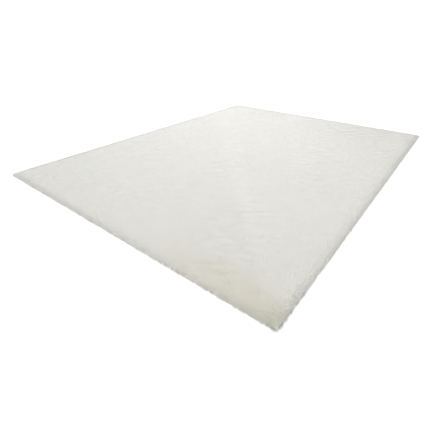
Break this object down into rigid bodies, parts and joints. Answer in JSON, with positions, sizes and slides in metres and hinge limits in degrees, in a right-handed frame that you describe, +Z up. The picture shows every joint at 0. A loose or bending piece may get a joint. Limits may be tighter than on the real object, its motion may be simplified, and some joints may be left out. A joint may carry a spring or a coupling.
{
  "type": "shag rug",
  "caption": "Rectangular shag rug with a dense, level, fluffy cut pile in plain ivory, lying flat, with soft rounded pile edges and a flat underside.",
  "frame": {"origin": "middle of the flat underside, on the ground", "axes": "+Z up out of the pile, +X along the short side, +Y along the long side"},
  "size_m": [1.4991, 1.9993, 0.0245],
  "materials": {
    "pile": "matt, dense fluffy cut pile of fine crimped ivory yarn, with soft uneven shading",
    "backing": "matt, coarse plain-woven ground cloth, on the underside"
  },
  "bodies": {
    "root": {"rug": "pile"}
  },
  "joints": []
}
